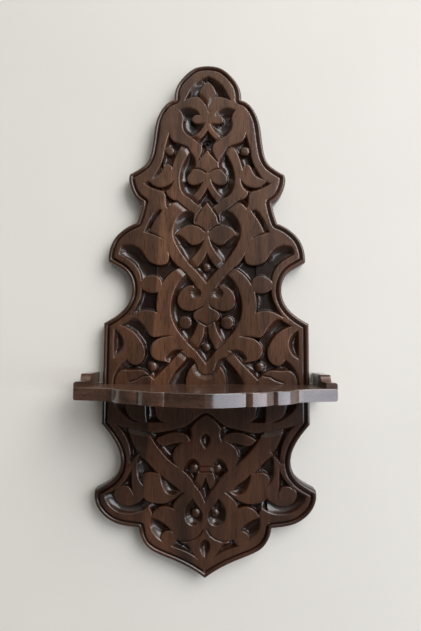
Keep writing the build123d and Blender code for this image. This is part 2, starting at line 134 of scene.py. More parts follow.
# Distances in millimetres from a line at which the surface gets corners
MOULDING_RINGS = [distance for distance, _ in MOULDING[1:]]
RIM_RINGS_IN = [0.4, 1.0, 1.7, 2.4, 3.2, 4.2]
RIM_RINGS_OUT = [0.4, 0.9, 1.5]
CUT_RINGS = [0.01, CUT_WIDTH / 2, CUT_WIDTH]
PASS_RINGS = [0.3, 1.2, 2.6, 4.2]
# Shares of the radius at which a boss or eye gets corners, fewest in a ring and more with its share
ROUND_SHARES = [0.3, 0.55, 0.75, 0.9, 1.0]
FEWEST_IN_RING = 8
MORE_IN_RING = 20
# Shares of the turn between two lines at which their shared corner gets fans
FAN_SHARES = [0.25, 0.5, 0.75]
# Steps along the drawn lines and between the even corners of flats and floors
STEP = 1.2
FINE_STEP = 1.0
EVEN_STEP = 2.3
KEEP_APART = 0.3
# Nearest that corners may come to another part of the surface
RIM_FROM_OUTLINE = 9
EVEN_FROM_OUTLINE = 10.8
EVEN_FROM_RIM_IN = 4.9
EVEN_FROM_RIM_OUT = 2.2
INNER_FROM_BORDER = 0.45

# Differences in millimetres that still count as the same level, line, circle or ring
SAME_LEVEL = 0.02
SAME_FLOOR = 0.3
SAME_LINE = 0.03
SAME_CIRCLE = 0.06
SAME_RING = 0.05
SAME_HOLE = 0.1
SAME_HEIGHT = 0.01
SAME_CORNER = 1e-3
SHORTEST_LINE = 1e-4
# Decimals of a millimetre in which corners and ends of lines agree
CORNER_DECIMALS = 3
END_DECIMALS = 2
# Look-ups: farthest distance, level to look down from, half height of a line's ribbon
FARTHEST = 20
LOOK_FROM = 50
RIBBON = 1
# Level beside the surface, and number of a line's missing neighbour
BESIDE = -1.0
NO_LINE = -1

# Finished meshes: degrees between faces from which an edge is sharp, and distances in metres
SHARP_FROM = 50
WELD_WITHIN = 1e-6
BACK_WITHIN = 0.00001

# Boards of the panel: colour of the walnut, and strength of the paler strip beside the left joint
BOARDS = {
    "panel_middle_board": ((0.086, 0.041, 0.023), 1.3),
    "panel_right_board": ((0.076, 0.037, 0.023), 1.0),
    "panel_left_board": ((0.064, 0.031, 0.018), 1.0),
}
CHEEKS = ["cheek_right", "cheek_left"]
SHELF_TONE = (0.072, 0.038, 0.026)
CHEEK_TONE = (0.075, 0.04, 0.028)
# Shifts of the grain from piece to piece
BOARD_SEED_STEP = 3.7
SHELF_SEED = 17.0
CHEEK_SEED = 21.0
# Grain of walnut and beech: how much slower it changes along the wood
WALNUT_LONG_WAY = 0.07
BEECH_LONG_WAY = 0.1
# Walnut figure: place in the pattern against share of the tone's red, green and blue
FIGURE = [(0.28, (0.42, 0.42, 0.42)), (0.48, (1, 1, 1)), (0.72, (1.6, 1.5, 1.4))]
CLOUDS = [(0.3, (0.68, 0.66, 0.66)), (0.65, (1.2, 1.16, 1.1))]
PORES = [(0.36, (0.55, 0.5, 0.47)), (0.46, (1, 1, 1))]
# Tint against depth into the carving: painted highlight along the arrises, painted shade down in the
# hollows
ARRIS_HIGHLIGHT_AND_HOLLOW_SHADE = [(0.01, (1, 1, 1)), (0.035, (1.3, 1.22, 1.15)), (0.08, (0.82, 0.77, 0.74)),
                    (0.35, (0.52, 0.45, 0.4)), (0.7, (0.32, 0.25, 0.21)), (0.98, (0.17, 0.12, 0.09))]
# Painted shade low down, below the shelf, and painted light higher up: tint against height, between two
# heights in metres from the hanging hole
SHADE_FULL_BELOW = -0.42
LIGHT_FULL_ABOVE = -0.3
LOW_SHADE_AND_HIGH_LIGHT = [(0, (0.66, 0.58, 0.56)), (1, (1.12, 1.12, 1.12))]
# Paler strip beside the left joint: x in metres where it is full and where it ends
STRIP_FULL = -0.068
STRIP_END = -0.035
# Varnish: mirror share of the wood, strength, softness and bend of light of the coat
WOOD_MIRROR = 0.25
COAT_STRENGTH = 0.65
COAT_SOFTNESS = 0.13
COAT_BEND = 1.5
SHELF_COAT_BEND = 1.85
BEECH_COLOURS = [(0.35, (0.36, 0.22, 0.11)), (0.5, (0.5, 0.33, 0.18)), (0.7, (0.58, 0.41, 0.25))]
STEEL_COLOURS = [(0.3, (0.3, 0.27, 0.24)), (0.6, (0.5, 0.49, 0.47))]
# Depths in metres of the fine relief in walnut and in the other surfaces
PORE_DEPTH = 0.0004
RELIEF_DEPTH = 0.0005

# Room, in metres from the hanging hole
WALL_GAP = 0.0006
FLOOR_HEIGHT = -1.45
ROOM_TOP = 2
ROOM_REACH = 4
WALL_COLOUR = (0.83, 0.81, 0.765)
FLOOR_COLOUR = (0.5, 0.485, 0.455)
DARKER_PATCH = 0.96
# Shares of the light that the wall and the floor send on
WALL_BOUNCE = 1.0
FLOOR_BOUNCE = 0.25
# Length of a ray in metres up to which the room's sheets are clear
CLEAR_WITHIN = 0.002
# Room light: direction it comes from, and its strength from the dark side to the bright one
LIGHT_FROM = (0.5, 0.4, 0.77)
LIGHT_DARK_SIDE = -0.35
LIGHT_BRIGHT_SIDE = 0.8
LIGHT_LEAST = 0.07
LIGHT_MOST = 1.5
LIGHT_COLOUR = (1.0, 0.955, 0.89, 1)


def make_camera():
    """Camera at the photograph's viewing angle."""
    data = bpy.data.cameras.new("camera")
    data.lens = CAMERA_LENS
    data.clip_start = CAMERA_NEAREST
    camera = bpy.data.objects.new("camera", data)
    bpy.context.scene.collection.objects.link(camera)
    turn = Matrix.Rotation(math.radians(CAMERA_TILT), 4, "X")
    roll = Matrix.Rotation(math.radians(CAMERA_ROLL), 4, "Z")
    camera.matrix_world = Matrix.Translation(CAMERA_PLACE) @ turn @ roll
    bpy.context.scene.camera = camera


def curve(table, distance):
    """Value of a table of pairs at each distance, straight between its rows."""
    places, values = zip(*table)
    return np.interp(distance, places, values)


def joint_x(height):
    """Distance of the board joints from the midline."""
    share = (PANEL_HEIGHT - height) / PANEL_HEIGHT
    return JOINT_TOP_X + (JOINT_BOTTOM_X - JOINT_TOP_X) * share


def both_rounds(rounds):
    """Round parts with their mirror images, apart from those on the midline."""
    return rounds + [(-x, *rest) for x, *rest in rounds if x]


def both_sides(rows):
    """Rows of points with their mirror images, turned so that left stays left."""
    return rows + [[(-x, y) for x, y in reversed(row)] for row in rows]


def pairs_of(rows):
    """Every row's stretches, on both sides, as (number, 2 ends, x and height)."""
    return np.array([pair for row in both_sides(rows) for pair in zip(row, row[1:])], float)


def drawn_mesh(node):
    """Welded corners as (x, height, level) in millimetres and triangles of a CAD node."""
    mesh = nodes[node].data
    mesh.calc_loop_triangles()
    corners = np.empty(len(mesh.vertices) * 3)
    mesh.vertices.foreach_get("co", corners)
    corners = corners.reshape(-1, 3) / MM
    triangles = np.empty(len(mesh.loop_triangles) * 3, int)
    mesh.loop_triangles.foreach_get("vertices", triangles)
    drawn = np.column_stack([corners[:, 0], corners[:, 2] + HOLE_HEIGHT, -corners[:, 1]])
    welded, place = np.unique(drawn.round(CORNER_DECIMALS), axis=0, return_inverse=True)
    return welded, place.ravel()[triangles].reshape(-1, 3)


def at_level(corners, triangles, level):
    """Triangles that lie flat at one level."""
    flat = np.abs(corners[triangles][:, :, 2] - level) < SAME_LEVEL
    return triangles[flat.all(axis=1)]


def lone_edges(triangles):
    """Edges that only one triangle uses, as pairs of corners."""
    pairs = np.concatenate([triangles[:, [0, 1]], triangles[:, [1, 2]], triangles[:, [2, 0]]])
    ordered = np.sort(pairs, axis=1)
    _, first, count = np.unique(ordered, axis=0, return_index=True, return_counts=True)
    return pairs[first[count == 1]]


def segments_of(node, level):
    """Border of the flat faces at one level, as (number, 2 ends, x and height)."""
    corners, triangles = drawn_mesh(node)
    return corners[lone_edges(at_level(corners, triangles, level))][:, :, :2]


def near_holes(segments, holes):
    """True for segments with both ends round one of the holes."""
    near = np.zeros(len(segments), bool)
    for hole in holes:
        gap = np.linalg.norm(segments - np.array(hole), axis=2)
        near |= (gap < BACK_HOLE_REACH).all(axis=1)
    return near


def on_joint(segments):
    """True for segments along a board joint."""
    gap = np.abs(np.abs(segments[:, :, 0]) - joint_x(segments[:, :, 1]))
    return (gap < SAME_LINE).all(axis=1)


def on_shelf(segments):
    """True for segments along the top or bottom of the shelf housing."""
    top = np.abs(segments[:, :, 1] - SHELF_TOP) < SAME_LINE
    bottom = np.abs(segments[:, :, 1] - SHELF_BOTTOM) < SAME_LINE
    return top.all(axis=1) | bottom.all(axis=1)


def board_border(name):
    """Outer border of one board, without the holes in its back."""
    border = segments_of(name, 0)
    return border[~near_holes(border, BACK_HOLES)]


def hollow_rims(names, bosses):
    """Rims of the hollows, without joints, shelf housing, hanging hole and bosses."""
    floor = np.concatenate([segments_of(name, FLOOR) for name in names])
    rims = floor[~on_joint(floor) & ~on_shelf(floor)]
    rims = rims[~near_holes(rims, [HANGING_HOLE])]
    for x, y, radius, _ in bosses:
        from_circle = np.abs(np.linalg.norm(rims - np.array((x, y)), axis=2) - radius)
        rims = rims[~(from_circle < SAME_CIRCLE).all(axis=1)]
    return rims


def ribbon_tree(segments):
    """Tree that finds the nearest place on a set of drawn segments."""
    corners, faces = [], []
    for (ax, ay), (bx, by) in segments:
        start = len(corners)
        corners += [(ax, ay, -RIBBON), (bx, by, -RIBBON), (bx, by, RIBBON), (ax, ay, RIBBON)]
        faces.append((start, start + 1, start + 2, start + 3))
    return BVHTree.FromPolygons(corners, faces)


def surface_tree(names):
    """Tree of the CAD boards' own surface, to read levels from."""
    corners, faces = [], []
    for name in names:
        own, triangles = drawn_mesh(name)
        faces += (triangles + len(corners)).tolist()
        corners += own.tolist()
    return BVHTree.FromPolygons(corners, faces)


def distances(tree, places, reach=FARTHEST):
    """Distance of each place from the segments in a tree, as far as the reach."""
    found = [tree.find_nearest(Vector((x, y, 0)), reach)[3] for x, y in places]
    return np.array([reach if d is None else d for d in found])


def levels(tree, places):
    """Level of the CAD surface in front of each place, or a negative one beside it."""
    down = Vector((0, 0, -1))
    found = [tree.ray_cast(Vector((x, y, LOOK_FROM)), down)[0] for x, y in places]
    return np.array([BESIDE if hit is None else hit.z for hit in found])


def rim_neighbours(rims):
    """Turn at the end of each rim segment, and the numbers of the next segment and of the last."""
    along = rims[:, 1] - rims[:, 0]
    heading = np.arctan2(along[:, 1], along[:, 0])
    starts = {tuple(place): i for i, place in enumerate(rims[:, 0].round(END_DECIMALS))}
    after = np.array([starts.get(tuple(place), NO_LINE) for place in rims[:, 1].round(END_DECIMALS)])
    turn = np.remainder(heading[after] - heading + math.pi, 2 * math.pi) - math.pi
    after[np.abs(turn) > CORNER_TURN] = NO_LINE
    before = np.full(len(rims), NO_LINE)
    before[after[after >= 0]] = np.flatnonzero(after >= 0)
    return turn, after, before


def turned_along(first, neighbour, turn, length):
    """Sum of the turns one way along a rim from a segment, and the length gone for it."""
    here, turned, gone = first, 0.0, 0.0
    while neighbour[here] >= 0 and gone < BEND_REACH:
        turned += turn[here]
        here = neighbour[here]
        gone += length[here]
    return turned, gone


def wall_widths(rims):
    """Width of the wall along each rim segment, from the way the rim bends there."""
    length = np.linalg.norm(rims[:, 1] - rims[:, 0], axis=1)
    turn, after, before = rim_neighbours(rims)
    turn_before = turn[before]
    bend = np.zeros(len(rims))
    for i in range(len(rims)):
        turned_on, gone_on = turned_along(i, after, turn, length)
        turned_back, gone_back = turned_along(i, before, turn_before, length)
        bend[i] = (turned_on + turned_back) / (length[i] + gone_on + gone_back)
    share = np.clip((bend + BEND_OF_WIDEST) / (2 * BEND_OF_WIDEST), 0, 1)
    return WALL_WIDTHS[0] + (WALL_WIDTHS[-1] - WALL_WIDTHS[0]) * share


def wall_trees(rims):
    """Width of wall and tree of its rims, for each width that some rims are nearest to."""
    nearest = np.abs(wall_widths(rims)[:, None] - np.array(WALL_WIDTHS)).argmin(axis=1)
    return [(WALL_WIDTHS[i], ribbon_tree(rims[nearest == i])) for i in np.unique(nearest)]


def parts_between(a, b, step):
    """Number of equal parts, none longer than a step, between two places."""
    return max(1, math.ceil(np.linalg.norm(b - a) / step))


def starts_along(segments, normals, step):
    """Places along segments, and their segments' normals."""
    starts, sides = [], []
    for (a, b), normal in zip(segments, normals):
        parts = parts_between(a, b, step)
        starts += [a + (b - a) * (i + 0.5) / parts for i in range(parts)]
        sides += [normal] * parts
    return starts, sides


def corner_fans(segments, normals):
    """Places where two segments meet, and directions between their normals."""
    meeting = {}
    for ends, normal in zip(segments, normals):
        for end in ends:
            meeting.setdefault(tuple(end.round(CORNER_DECIMALS)), []).append(normal)
    starts, sides = [], []
    for end, found in meeting.items():
        if len(found) == 2:
            one, two = found
            if np.dot(one, two) < 0:
                two = -two
            for share in FAN_SHARES:
                mixed = one * (1 - share) + two * share
                starts.append(np.array(end))
                sides.append(mixed / np.linalg.norm(mixed))
    return starts, sides


def offsets(segments, reaches, step):
    """Places beside segments on both sides at each reach, and the reach of each place."""
    length = np.linalg.norm(segments[:, 1] - segments[:, 0], axis=1)
    segments = segments[length > SHORTEST_LINE]
    along = (segments[:, 1] - segments[:, 0]) / length[length > SHORTEST_LINE, None]
    normals = np.column_stack([-along[:, 1], along[:, 0]])
    starts, sides = starts_along(segments, normals, step)
    fan_starts, fan_sides = corner_fans(segments, normals)
    starts = np.array(starts + fan_starts)
    sides = np.array(sides + fan_sides)
    rings = []
    for reach in reaches:
        rings += [starts + sides * reach, starts - sides * reach]
    return np.concatenate(rings), np.repeat(reaches, 2 * len(starts))


def thinned(places, apart):
    """Places with near doubles left out, found in two grids half a cell apart."""
    for shift in (0.0, 0.5):
        cells = np.floor(places / apart + shift).astype(int)
        _, first = np.unique(cells, axis=0, return_index=True)
        places = places[np.sort(first)]
    return places


def even_pattern(low, high):
    """Even triangular pattern of places between two corners."""
    rows = np.arange(low[1], high[1], EVEN_STEP * math.sqrt(3) / 2)
    places = []
    for i, y in enumerate(rows):
        xs = np.arange(low[0] + (i % 2) * EVEN_STEP / 2, high[0], EVEN_STEP)
        places.append(np.column_stack([xs, np.full(len(xs), y)]))
    return np.concatenate(places)


def round_places(x, y, radius):
    """Rings of places on a round boss or scroll eye, and on its foot."""
    rings = [np.array([(x, y)], float)]
    foot_shares = [1.0 + 0.5 * BOSS_FOOT / radius, 1.0 + BOSS_FOOT / radius]
    for share in ROUND_SHARES + foot_shares:
        count = int(FEWEST_IN_RING + MORE_IN_RING * share)
        turn = np.linspace(0, 2 * math.pi, count, endpoint=False)
        rings.append(np.column_stack([x + radius * share * np.cos(turn),
                                      y + radius * share * np.sin(turn)]))
    return np.concatenate(rings)


def slope_depth(places, start, end, width):
    """Depth of a gentle slope that falls away from a line."""
    a, b = np.array(start), np.array(end)
    along = (b - a) / np.linalg.norm(b - a)
    share = (places - a) @ along / np.linalg.norm(b - a)
    away = np.abs((places - a) @ np.array([-along[1], along[0]]))
    inside = (share > -SLOPE_OVERRUN) & (share < 1 + SLOPE_OVERRUN)
    return np.where(inside, HOLLOW_DEPTH * curve(WALL, away / width), HOLLOW_DEPTH)


def boss_level(places, x, y, radius, crown):
    """Level of a crowned boss and its foot, or that of the wall beyond them."""
    drop, power = crown
    gap = np.hypot(places[:, 0] - x, places[:, 1] - y)
    dome = BOSS_TOP - drop * (gap / radius) ** power
    foot = BOSS_TOP - drop - (gap - radius) * FOOT_STEEPNESS
    return np.where(gap < radius, dome, np.where(gap < radius + BOSS_FOOT, foot, 0))


def eye_level(places, x, y, radius):
    """Level of a dished scroll eye, or that of the face beyond it."""
    share = np.hypot(places[:, 0] - x, places[:, 1] - y) / radius
    return FACE - (FACE - EYE_FLOOR) * np.sqrt(np.clip(1 - share ** 2, 0, 1))


def tool_marks(places, in_hollow):
    """Small unevenness of hand work, larger in the hollows."""
    made = [noise.noise(Vector((x * MARKS_SCALE, y * MARKS_SCALE, MARKS_LAYER))) for x, y in places]
    return np.array(made) * np.where(in_hollow, MARKS_IN_HOLLOW, MARKS_ON_FACE)


class Carving:
    """Level of the carved front at any drawn place, read from the solids' outlines."""

    def __init__(self, names):
        border = np.concatenate([board_border(name) for name in names])
        self.outline = border[~on_joint(border)]
        self.outline_tree = ribbon_tree(self.outline)
        self.bosses = both_rounds(BOSSES)
        self.eyes = both_rounds(SCROLL_EYES)
        self.rims = hollow_rims(names, self.bosses)
        self.rim_tree = ribbon_tree(self.rims)
        self.walls = wall_trees(self.rims)
        self.cuts = pairs_of(CUTS)
        self.cut_tree = ribbon_tree(self.cuts)
        self.passes = pairs_of(PASSES)
        self.pass_tree = ribbon_tree(self.passes)
        self.surface = surface_tree(names)

    def on_floor(self, places):
        """True for places on the floor of a hollow in the solids."""
        return np.abs(levels(self.surface, places) - FLOOR) < SAME_FLOOR

    def moulding_places(self):
        """Places along the lines of the edge moulding."""
        rings, reach = offsets(self.outline, MOULDING_RINGS, STEP)
        return rings[np.abs(distances(self.outline_tree, rings) - reach) < SAME_RING]

    def rim_places(self):
        """Places beside the rims, more of them inside the hollows than outside."""
        rings, reach = offsets(self.rims, sorted(set(RIM_RINGS_IN + RIM_RINGS_OUT)), STEP)
        kept = np.abs(distances(self.rim_tree, rings) - reach) < SAME_RING
        rings, reach = rings[kept], reach[kept]
        wanted = np.where(self.on_floor(rings), np.isin(reach, RIM_RINGS_IN), np.isin(reach, RIM_RINGS_OUT))
        return rings[wanted & (distances(self.outline_tree, rings) > RIM_FROM_OUTLINE)]

    def even_places(self):
        """Even places on the flats and floors, away from the outline and the rims."""
        places = even_pattern(self.outline.min(axis=(0, 1)), self.outline.max(axis=(0, 1)))
        places = places[distances(self.outline_tree, places) > EVEN_FROM_OUTLINE]
        nearest = np.where(self.on_floor(places), EVEN_FROM_RIM_IN, EVEN_FROM_RIM_OUT)
        return places[distances(self.rim_tree, places) > nearest]

    def places(self):
        """Places that the carved surface needs, close together where it turns."""
        cuts, _ = offsets(self.cuts, CUT_RINGS, FINE_STEP)
        passes, _ = offsets(self.passes, PASS_RINGS, FINE_STEP)
        rounds = [round_places(x, y, radius) for x, y, radius, *_ in self.bosses + self.eyes]
        groups = [self.moulding_places(), self.rim_places(), cuts, passes, *rounds, self.even_places()]
        return thinned(np.concatenate(groups), KEEP_APART)

    def level(self, places):
        """Level of the carved front at each place."""
        solid = levels(self.surface, places)
        in_hollow = (np.abs(solid - FLOOR) < SAME_FLOOR) | (np.abs(solid - BOSS_TOP) < SAME_LEVEL)
        hollow = FACE - self.hollow_depth(places)
        for boss in self.bosses:
            hollow = np.maximum(hollow, boss_level(places, *boss))
        out = np.where(in_hollow, hollow, self.face_level(places))
        for eye in self.eyes:
            out = np.minimum(out, eye_level(places, *eye))
        return out + tool_marks(places, in_hollow)

    def face_level(self, places):
        """Level of the face: its moulding, less the worn rims, the cuts and the passes."""
        moulding = curve(MOULDING, distances(self.outline_tree, places))
        worn = curve(WORN_RIM, distances(self.rim_tree, places))
        cut = CUT_DEPTH * np.clip(1 - distances(self.cut_tree, places) / CUT_WIDTH, 0, 1)
        return moulding - worn - np.maximum(cut, self.passing(places))

    def hollow_depth(self, places):
        """Depth of the hollows: the least that their walls and gentle slopes leave."""
        depth = np.full(len(places), HOLLOW_DEPTH)
        for width, tree in self.walls:
            share = distances(tree, places, 2 * width) / width
            depth = np.minimum(depth, HOLLOW_DEPTH * curve(WALL, share))
        for (ax, ay), (bx, by), width in SLOPES:
            for side in (1, -1):
                depth = np.minimum(depth, slope_depth(places, (side * ax, ay), (side * bx, by), width))
        return depth

    def passing(self, places):
        """Depth by which a strap sinks as it passes under another."""
        sunk = np.zeros(len(places))
        for i, (x, y) in enumerate(places):
            _, _, face, gap = self.pass_tree.find_nearest(Vector((x, y, 0)), PASS_WIDTH)
            if face is None:
                continue
            (ax, ay), (bx, by) = self.passes[face]
            under = (bx - ax) * (y - ay) - (by - ay) * (x - ax) > 0
            width = PASS_WIDTH if under else PASS_EDGE
            sunk[i] = PASS_DEPTH * max(0.0, 1 - gap / width)
        return sunk


class Shell:
    """Drawn corners and faces of one board's surface, as it is put together."""

    def __init__(self):
        self.corners = []
        self.faces = []

    def add(self, corners, faces):
        """Takes in corners and the faces between them."""
        self.faces += (np.array(faces) + len(self.corners)).tolist()
        self.corners += np.array(corners).tolist()

    def add_wall(self, ends, high_levels, low_level):
        """Takes in an upright wall under the line between two places."""
        (a, b), (high_a, high_b) = ends, high_levels
        self.add([(*a, high_a), (*b, high_b), (*b, low_level), (*a, low_level)], [(1, 0, 3, 2)])


def housing_line(border, height):
    """Line across one board at a height, from border to border."""
    crossing = []
    for (ax, ay), (bx, by) in border:
        if min(ay, by) <= height < max(ay, by):
            crossing.append(ax + (bx - ax) * (height - ay) / (by - ay))
    return [(min(crossing), height), (max(crossing), height)]


def parted(segments, step):
    """Places along segments, ends included, and the edges that join them."""
    places, edges = [], []
    for a, b in segments:
        parts = parts_between(a, b, step)
        start = len(places)
        places += [a + (b - a) * i / parts for i in range(parts + 1)]
        edges += [(start + i, start + i + 1) for i in range(parts)]
    return places, edges


def board_triangles(name, shared):
    """Places on one board and the triangles between them, over its whole outline."""
    border = board_border(name)
    lines = np.array([housing_line(border, height) for height in (SHELF_BOTTOM, SHELF_TOP)])
    fixed, edges = parted(np.concatenate([border, segments_of(name, FLOOR), lines]), STEP)
    own = surface_tree([name])
    border_tree = ribbon_tree(np.concatenate([border, lines]))
    clear = distances(border_tree, shared) > INNER_FROM_BORDER
    inner = shared[(levels(own, shared) >= 0) & clear]
    every = [Vector(place) for place in fixed] + [Vector(place) for place in inner]
    made, _, faces, *_ = delaunay_2d_cdt(every, edges, [], 0, SAME_CORNER)
    places = np.array([tuple(place) for place in made])
    triangles = np.array(faces)
    return places, triangles[levels(own, places[triangles].mean(axis=1)) >= 0]


def front_of(places, triangles):
    """Triangles outside the counterbore and the shelf's housing."""
    middles = places[triangles].mean(axis=1)
    in_hole = np.hypot(middles[:, 0], middles[:, 1] - HOLE_HEIGHT) < COUNTERBORE_R
    in_housing = (middles[:, 1] > SHELF_BOTTOM) & (middles[:, 1] < SHELF_TOP)
    return triangles[~in_hole & ~in_housing]


def foot_level(ends):
    """Level that the wall under an edge of the front goes down to."""
    if on_shelf(ends[None])[0]:
        return HOUSING_FLOOR
    from_hole = np.hypot(ends[:, 0], ends[:, 1] - HOLE_HEIGHT)
    if (from_hole < COUNTERBORE_R + SAME_HOLE).all():
        return COUNTERBORE_FLOOR
    return 0


def beside_housing(ends):
    """True for an edge of the board that lies between the housing's bottom and top."""
    heights = ends[:, 1]
    return heights.min() >= SHELF_BOTTOM - SAME_HEIGHT and heights.max() <= SHELF_TOP + SAME_HEIGHT


def solid_back(name):
    """Corners of a CAD board, and its triangles in the back, the housing's floor and the holes."""
    corners, triangles = drawn_mesh(name)
    shape = corners[triangles]
    high = shape[:, :, 2].max(axis=1)
    housing = (np.abs(shape[:, :, 2] - HOUSING_FLOOR) < SAME_LEVEL).all(axis=1)
    kept = (high < SAME_LEVEL) | housing
    for x, y in BACK_HOLES:
        gap = np.hypot(shape[:, :, 0] - x, shape[:, :, 1] - y).max(axis=1)
        kept |= (gap < BACK_HOLE_REACH) & (high < HOUSING_FLOOR + SAME_LEVEL)
    return corners, triangles[kept]


def build_board(name, carving, shared):
    """One panel board with its carved front, side walls, back and holes."""
    places, whole = board_triangles(name, shared)
    front = front_of(places, whole)
    used = np.unique(whole)
    level = np.full(len(places), FACE)
    level[used] = carving.level(places[used])
    shell = Shell()
    shell.add(np.column_stack([places, level]), front)
    for edge in lone_edges(front):
        shell.add_wall(places[edge], level[edge], foot_level(places[edge]))
    for edge in lone_edges(whole):
        if beside_housing(places[edge]):
            shell.add_wall(places[edge], (HOUSING_FLOOR, HOUSING_FLOOR), 0)
    shell.add(*solid_back(name))
    return mesh_piece(name.replace("board", "carving"), name, shell)


def mesh_piece(name, node, shell):
    """Object in the row frame from a shell, standing for a CAD node."""
    drawn = np.array(shell.corners)
    placed = np.column_stack([drawn[:, 0], -drawn[:, 2], drawn[:, 1] - HOLE_HEIGHT]) * MM
    mesh = bpy.data.meshes.new(name)
    mesh.from_pydata(placed.tolist(), [], shell.faces)
    mesh.update()
    weld(mesh)
    mesh.shade_smooth()
    mesh.set_sharp_from_angle(angle=math.radians(SHARP_FROM))
    for face in mesh.polygons:
        if face.center.y > -BACK_WITHIN:
            face.use_smooth = False
    piece = bpy.data.objects.new(name, mesh)
    bpy.context.scene.collection.objects.link(piece)
    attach(piece, "root")
    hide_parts(node)
    return piece


def weld(mesh):
    """Joins corners at the same place, drops loose ones and turns faces outwards."""
    work = bmesh.new()
    work.from_mesh(mesh)
    bmesh.ops.remove_doubles(work, verts=work.verts, dist=WELD_WITHIN)
    loose = [v for v in work.verts if not v.link_faces]
    bmesh.ops.delete(work, geom=loose, context="VERTS")
    bmesh.ops.recalc_face_normals(work, faces=work.faces)
    work.to_mesh(mesh)
    work.free()


class Paint:
    """Node material under construction."""

    def __init__(self, name):
        self.material = bpy.data.materials.new(name)
        self.material.use_nodes = True
        self.nodes = self.material.node_tree.nodes
        self.links = self.material.node_tree.links
        self.shader = self.nodes["Principled BSDF"]
        self.where = self.add("ShaderNodeTexCoord").outputs["Object"]

    def add(self, kind, inputs=None, **settings):
        """New node with its settings, and with its inputs linked or set."""
        node = self.nodes.new(kind)
        for key, value in settings.items():
            setattr(node, key, value)
        for key, value in (inputs or {}).items():
            if isinstance(value, bpy.types.NodeSocket):
                self.links.new(value, node.inputs[key])
            else:
                node.inputs[key].default_value = value
        return node

    def stretched(self, scale, shift=(0, 0, 0)):
        """Places on the piece, shifted and stretched."""
        return self.add("ShaderNodeMapping", {"Vector": self.where, "Location": shift,
                                              "Scale": scale}).outputs["Vector"]

    def pattern(self, where, scale, detail, **more):
        """Even noise over the places."""
        return self.add("ShaderNodeTexNoise", {"Vector": where, "Scale": scale, "Detail": detail,
                                               **more}).outputs["Fac"]

    def ranged(self, value, start=0, end=1, low=0, high=1):
        """Value carried over from the range between start and end to that between low and high."""
        return self.add("ShaderNodeMapRange", {"Value": value, "From Min": start, "From Max": end,
                                               "To Min": low, "To Max": high}).outputs["Result"]

    def ramp(self, factor, stops):
        """Colour by a factor, from stops of place and colour."""
        node = self.add("ShaderNodeValToRGB", {"Fac": factor})
        elements = node.color_ramp.elements
        for place, _ in stops[1:-1]:
            elements.new(place)
        for element, (place, colour) in zip(elements, stops):
            element.position = place
            element.color = (*colour, 1)
        return node.outputs["Color"]

    def times(self, one, other):
        """One colour multiplied by another."""
        node = self.add("ShaderNodeMix", data_type="RGBA", blend_type="MULTIPLY")
        colours = [socket for socket in node.inputs if socket.type == "RGBA"]
        node.inputs["Factor"].default_value = 1.0
        self.links.new(one, colours[0])
        self.links.new(other, colours[1])
        return next(socket for socket in node.outputs if socket.type == "RGBA")

    def coat_with(self, colour):
        """Gives the surface its colour."""
        self.links.new(colour, self.shader.inputs["Base Color"])

    def dull(self, factor, low, high):
        """Gives the surface an uneven shine."""
        self.links.new(self.ranged(factor, low=low, high=high), self.shader.inputs["Roughness"])

    def roughen(self, factor, strength, depth=RELIEF_DEPTH):
        """Gives the surface a fine relief."""
        bump = self.add("ShaderNodeBump", {"Height": factor, "Strength": strength, "Distance": depth})
        self.links.new(bump.outputs["Normal"], self.shader.inputs["Normal"])


def carving_tint_and_painted_light(paint, colour, strip):
    """Colour of carved walnut: painted highlight along the arrises and painted shade down in the carving,
    painted shade low down and painted light higher up, paler by one joint.
    """
    place = paint.add("ShaderNodeSeparateXYZ", {"Vector": paint.where}).outputs
    # Painted highlight along the arrises and painted shade down in the hollows, by depth into the carving
    sunk = paint.ranged(place["Y"], start=-FACE * MM, end=-FLOOR * MM)
    colour = paint.times(colour, paint.ramp(sunk, ARRIS_HIGHLIGHT_AND_HOLLOW_SHADE))
    colour = paint.times(colour, paint.ranged(place["X"], start=STRIP_FULL, end=STRIP_END, low=strip))
    # Painted shade low down, below the shelf, and painted light higher up
    height = paint.ranged(place["Z"], start=SHADE_FULL_BELOW, end=LIGHT_FULL_ABOVE)
    return paint.times(colour, paint.ramp(height, LOW_SHADE_AND_HIGH_LIGHT))


def walnut(name, tone, seed, along="Z", carved=False, strip=1.0, coat_bend=COAT_BEND):
    """Dark varnished walnut with its grain along one axis, with painted highlight and shade where it is
    carved.
    """
    paint = Paint(name)
    stretch = tuple(WALNUT_LONG_WAY if axis == along else 1.0 for axis in "XYZ")
    shifted = paint.stretched(stretch, shift=(seed, seed * 2, seed * 3))
    figure = paint.pattern(shifted, scale=42, detail=6, Roughness=0.6, Distortion=0.8)
    tones = [(place, tuple(share * part for share, part in zip(shares, tone)))
             for place, shares in FIGURE]
    clouds = paint.pattern(paint.where, scale=9, detail=3)
    pores = paint.pattern(paint.stretched(stretch), scale=850, detail=2)
    colour = paint.times(paint.ramp(figure, tones), paint.ramp(clouds, CLOUDS))
    colour = paint.times(colour, paint.ramp(pores, PORES))
    if carved:
        colour = carving_tint_and_painted_light(paint, colour, strip)
    paint.coat_with(colour)
    paint.roughen(pores, strength=0.12, depth=PORE_DEPTH)
    smears = paint.pattern(paint.where, scale=60, detail=4)
    paint.dull(smears, low=0.24, high=0.42)
    paint.shader.inputs["Specular IOR Level"].default_value = WOOD_MIRROR
    paint.shader.inputs["Coat Weight"].default_value = COAT_STRENGTH
    paint.shader.inputs["Coat Roughness"].default_value = COAT_SOFTNESS
    paint.shader.inputs["Coat IOR"].default_value = coat_bend
    return paint.material


